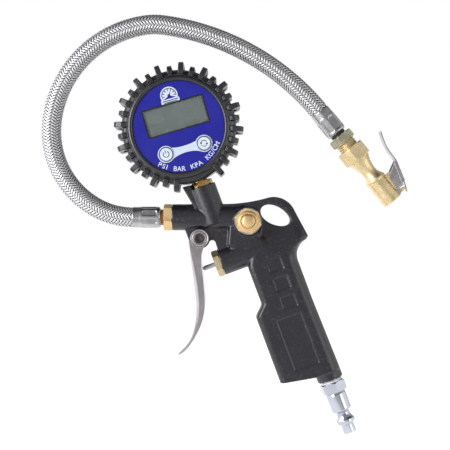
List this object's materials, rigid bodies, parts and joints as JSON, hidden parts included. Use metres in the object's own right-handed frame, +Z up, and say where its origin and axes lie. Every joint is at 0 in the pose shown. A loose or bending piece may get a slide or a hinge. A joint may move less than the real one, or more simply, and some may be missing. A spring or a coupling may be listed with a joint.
{
  "type": "tyre inflator with gauge",
  "caption": "Hand-held air inflator: pistol grip with a trigger valve, digital gauge in a rubber boot, braided hose and clip-on valve chuck.",
  "frame": {"origin": "centre of the open end of the air inlet plug, on its axis", "axes": "+Z up with the hose fitting horizontal, +X to the rear of the gun, +Y away from the side with the dial"},
  "size_m": [0.2192, 0.0333, 0.2515],
  "materials": {
    "black_enamel": "die-cast aluminium under textured black enamel",
    "nickel_plate": "bright nickel plate",
    "seal_tape": "PTFE tape",
    "brass": "turned brass",
    "pale_brass": "turned brass, paler",
    "dull_nickel": "nickel-plated brass, slightly green",
    "bright_steel": "bright zinc plate",
    "braid_steel": "woven stainless wire",
    "trigger_chrome": "chromed steel, satin sides",
    "spring_steel": "drawn wire",
    "clip_steel": "zinc-plated pressing",
    "seal_rubber": "black nitrile",
    "brown_seal": "brown fibre-filled rubber",
    "hose_rubber": "black hose rubber",
    "boot_rubber": "black moulded rubber",
    "case_plastic": "black ABS",
    "label_blue": "printed polycarbonate film",
    "clear_window": null,
    "lcd_grey": "display glass, switched off",
    "bezel_black": "black printed border",
    "key_white": "white silicone",
    "board_green": "glass-epoxy board",
    "contact_rubber": "layered contact strip",
    "switch_black": "moulded",
    "cell_wrap": null
  },
  "bodies": {
    "gun": {"gun_casting": "black_enamel", "inlet_plug": "nickel_plate", "inlet_seal_tape": "seal_tape", "packing_nut": "brass", "packing_o_ring": "seal_rubber", "valve_seat": "brass", "valve_spring": "spring_steel", "bleed_washer": "bright_steel", "bleed_bonnet": "brass", "bleed_spring": "spring_steel", "trigger_pin": "bright_steel", "pin_clip": "spring_steel", "gun_hose_fitting": "brass", "fitting_ring": "brown_seal", "gun_ferrule": "bright_steel", "hose_tube": "hose_rubber", "hose_braid": "braid_steel", "gauge_stem": "brass", "stem_nut": "brass", "sensor_o_ring": "seal_rubber", "pressure_sensor": "bright_steel", "case_front": "case_plastic", "case_rear": "case_plastic", "battery_cover": "case_plastic", "case_screws": "bright_steel", "dial_label": "label_blue", "lcd_window": "clear_window", "lcd_bezel": "bezel_black", "lcd_panel": "lcd_grey", "lcd_contact_strips": "contact_rubber", "circuit_board": "board_green", "key_switches": "switch_black", "batteries": "cell_wrap", "battery_contacts": "spring_steel", "gauge_boot": "boot_rubber"},
    "trigger": {"trigger": "trigger_chrome"},
    "valve": {"valve_stem": "bright_steel", "poppet_washer": "seal_rubber", "valve_poppet": "brass"},
    "bleed": {"bleed_button": "brass", "bleed_seal": "seal_rubber", "bleed_poppet": "brass"},
    "key_power": {"key_power": "key_white"},
    "key_function": {"key_function": "key_white"},
    "hose_end": {"chuck_ferrule": "bright_steel", "hose_end_stem": "brass", "swivel_o_ring": "seal_rubber"},
    "chuck": {"swivel_nipple": "dull_nickel", "chuck_body": "pale_brass", "core_depressor": "pale_brass", "chuck_gasket": "seal_rubber", "clip_pin": "bright_steel", "clip_spring": "spring_steel"},
    "clip": {"clip_lever": "clip_steel"}
  },
  "joints": [
    {"name": "trigger_pull", "type": "hinge", "parent": "gun", "child": "trigger", "pos_m": [-0.09042, 0, 0.11619], "axis": [0, -1, 0], "range_deg": [0, 14], "stiffness_Nm_per_rad": 0.5, "springref_deg": -8.59},
    {"name": "valve_slide", "type": "slide", "parent": "gun", "child": "valve", "axis": [0.9367, 0, 0.3502], "range_m": [0, 0.0045], "deforming": ["valve_spring"]},
    {"name": "bleed_press", "type": "slide", "parent": "gun", "child": "bleed", "axis": [0, 1, 0], "range_m": [0, 0.0018], "stiffness_N_per_m": 700, "springref_m": -0.001, "deforming": ["bleed_spring"]},
    {"name": "key_power_press", "type": "slide", "parent": "gun", "child": "key_power", "axis": [0, 1, 0], "range_m": [0, 0.0005], "stiffness_N_per_m": 60, "springref_m": -0.0005},
    {"name": "key_function_press", "type": "slide", "parent": "gun", "child": "key_function", "axis": [0, 1, 0], "range_m": [0, 0.0005], "stiffness_N_per_m": 60, "springref_m": -0.0005},
    {"name": "hose_flex", "type": "hinge", "parent": "gun", "child": "hose_end", "pos_m": [-0.086, 0, 0.238], "axis": [0, 1, 0], "range_deg": [-35, 10], "stiffness_Nm_per_rad": 1.5, "deforming": ["hose_tube", "hose_braid"]},
    {"name": "chuck_swivel", "type": "hinge", "parent": "hose_end", "child": "chuck", "pos_m": [-0.00654, 0, 0.17764], "axis": [0.6361, 0, -0.7716], "continuous": true},
    {"name": "clip_tilt", "type": "hinge", "parent": "chuck", "child": "clip", "pos_m": [0.02473, 0, 0.15275], "axis": [0, -1, 0], "range_deg": [0, 14], "stiffness_Nm_per_rad": 0.04, "springref_deg": -11.46, "deforming": ["clip_spring"]}
  ],
  "couplings": [
    {"joint": "valve_slide", "follows": "trigger_pull", "m_per_rad": 0.0179}
  ]
}
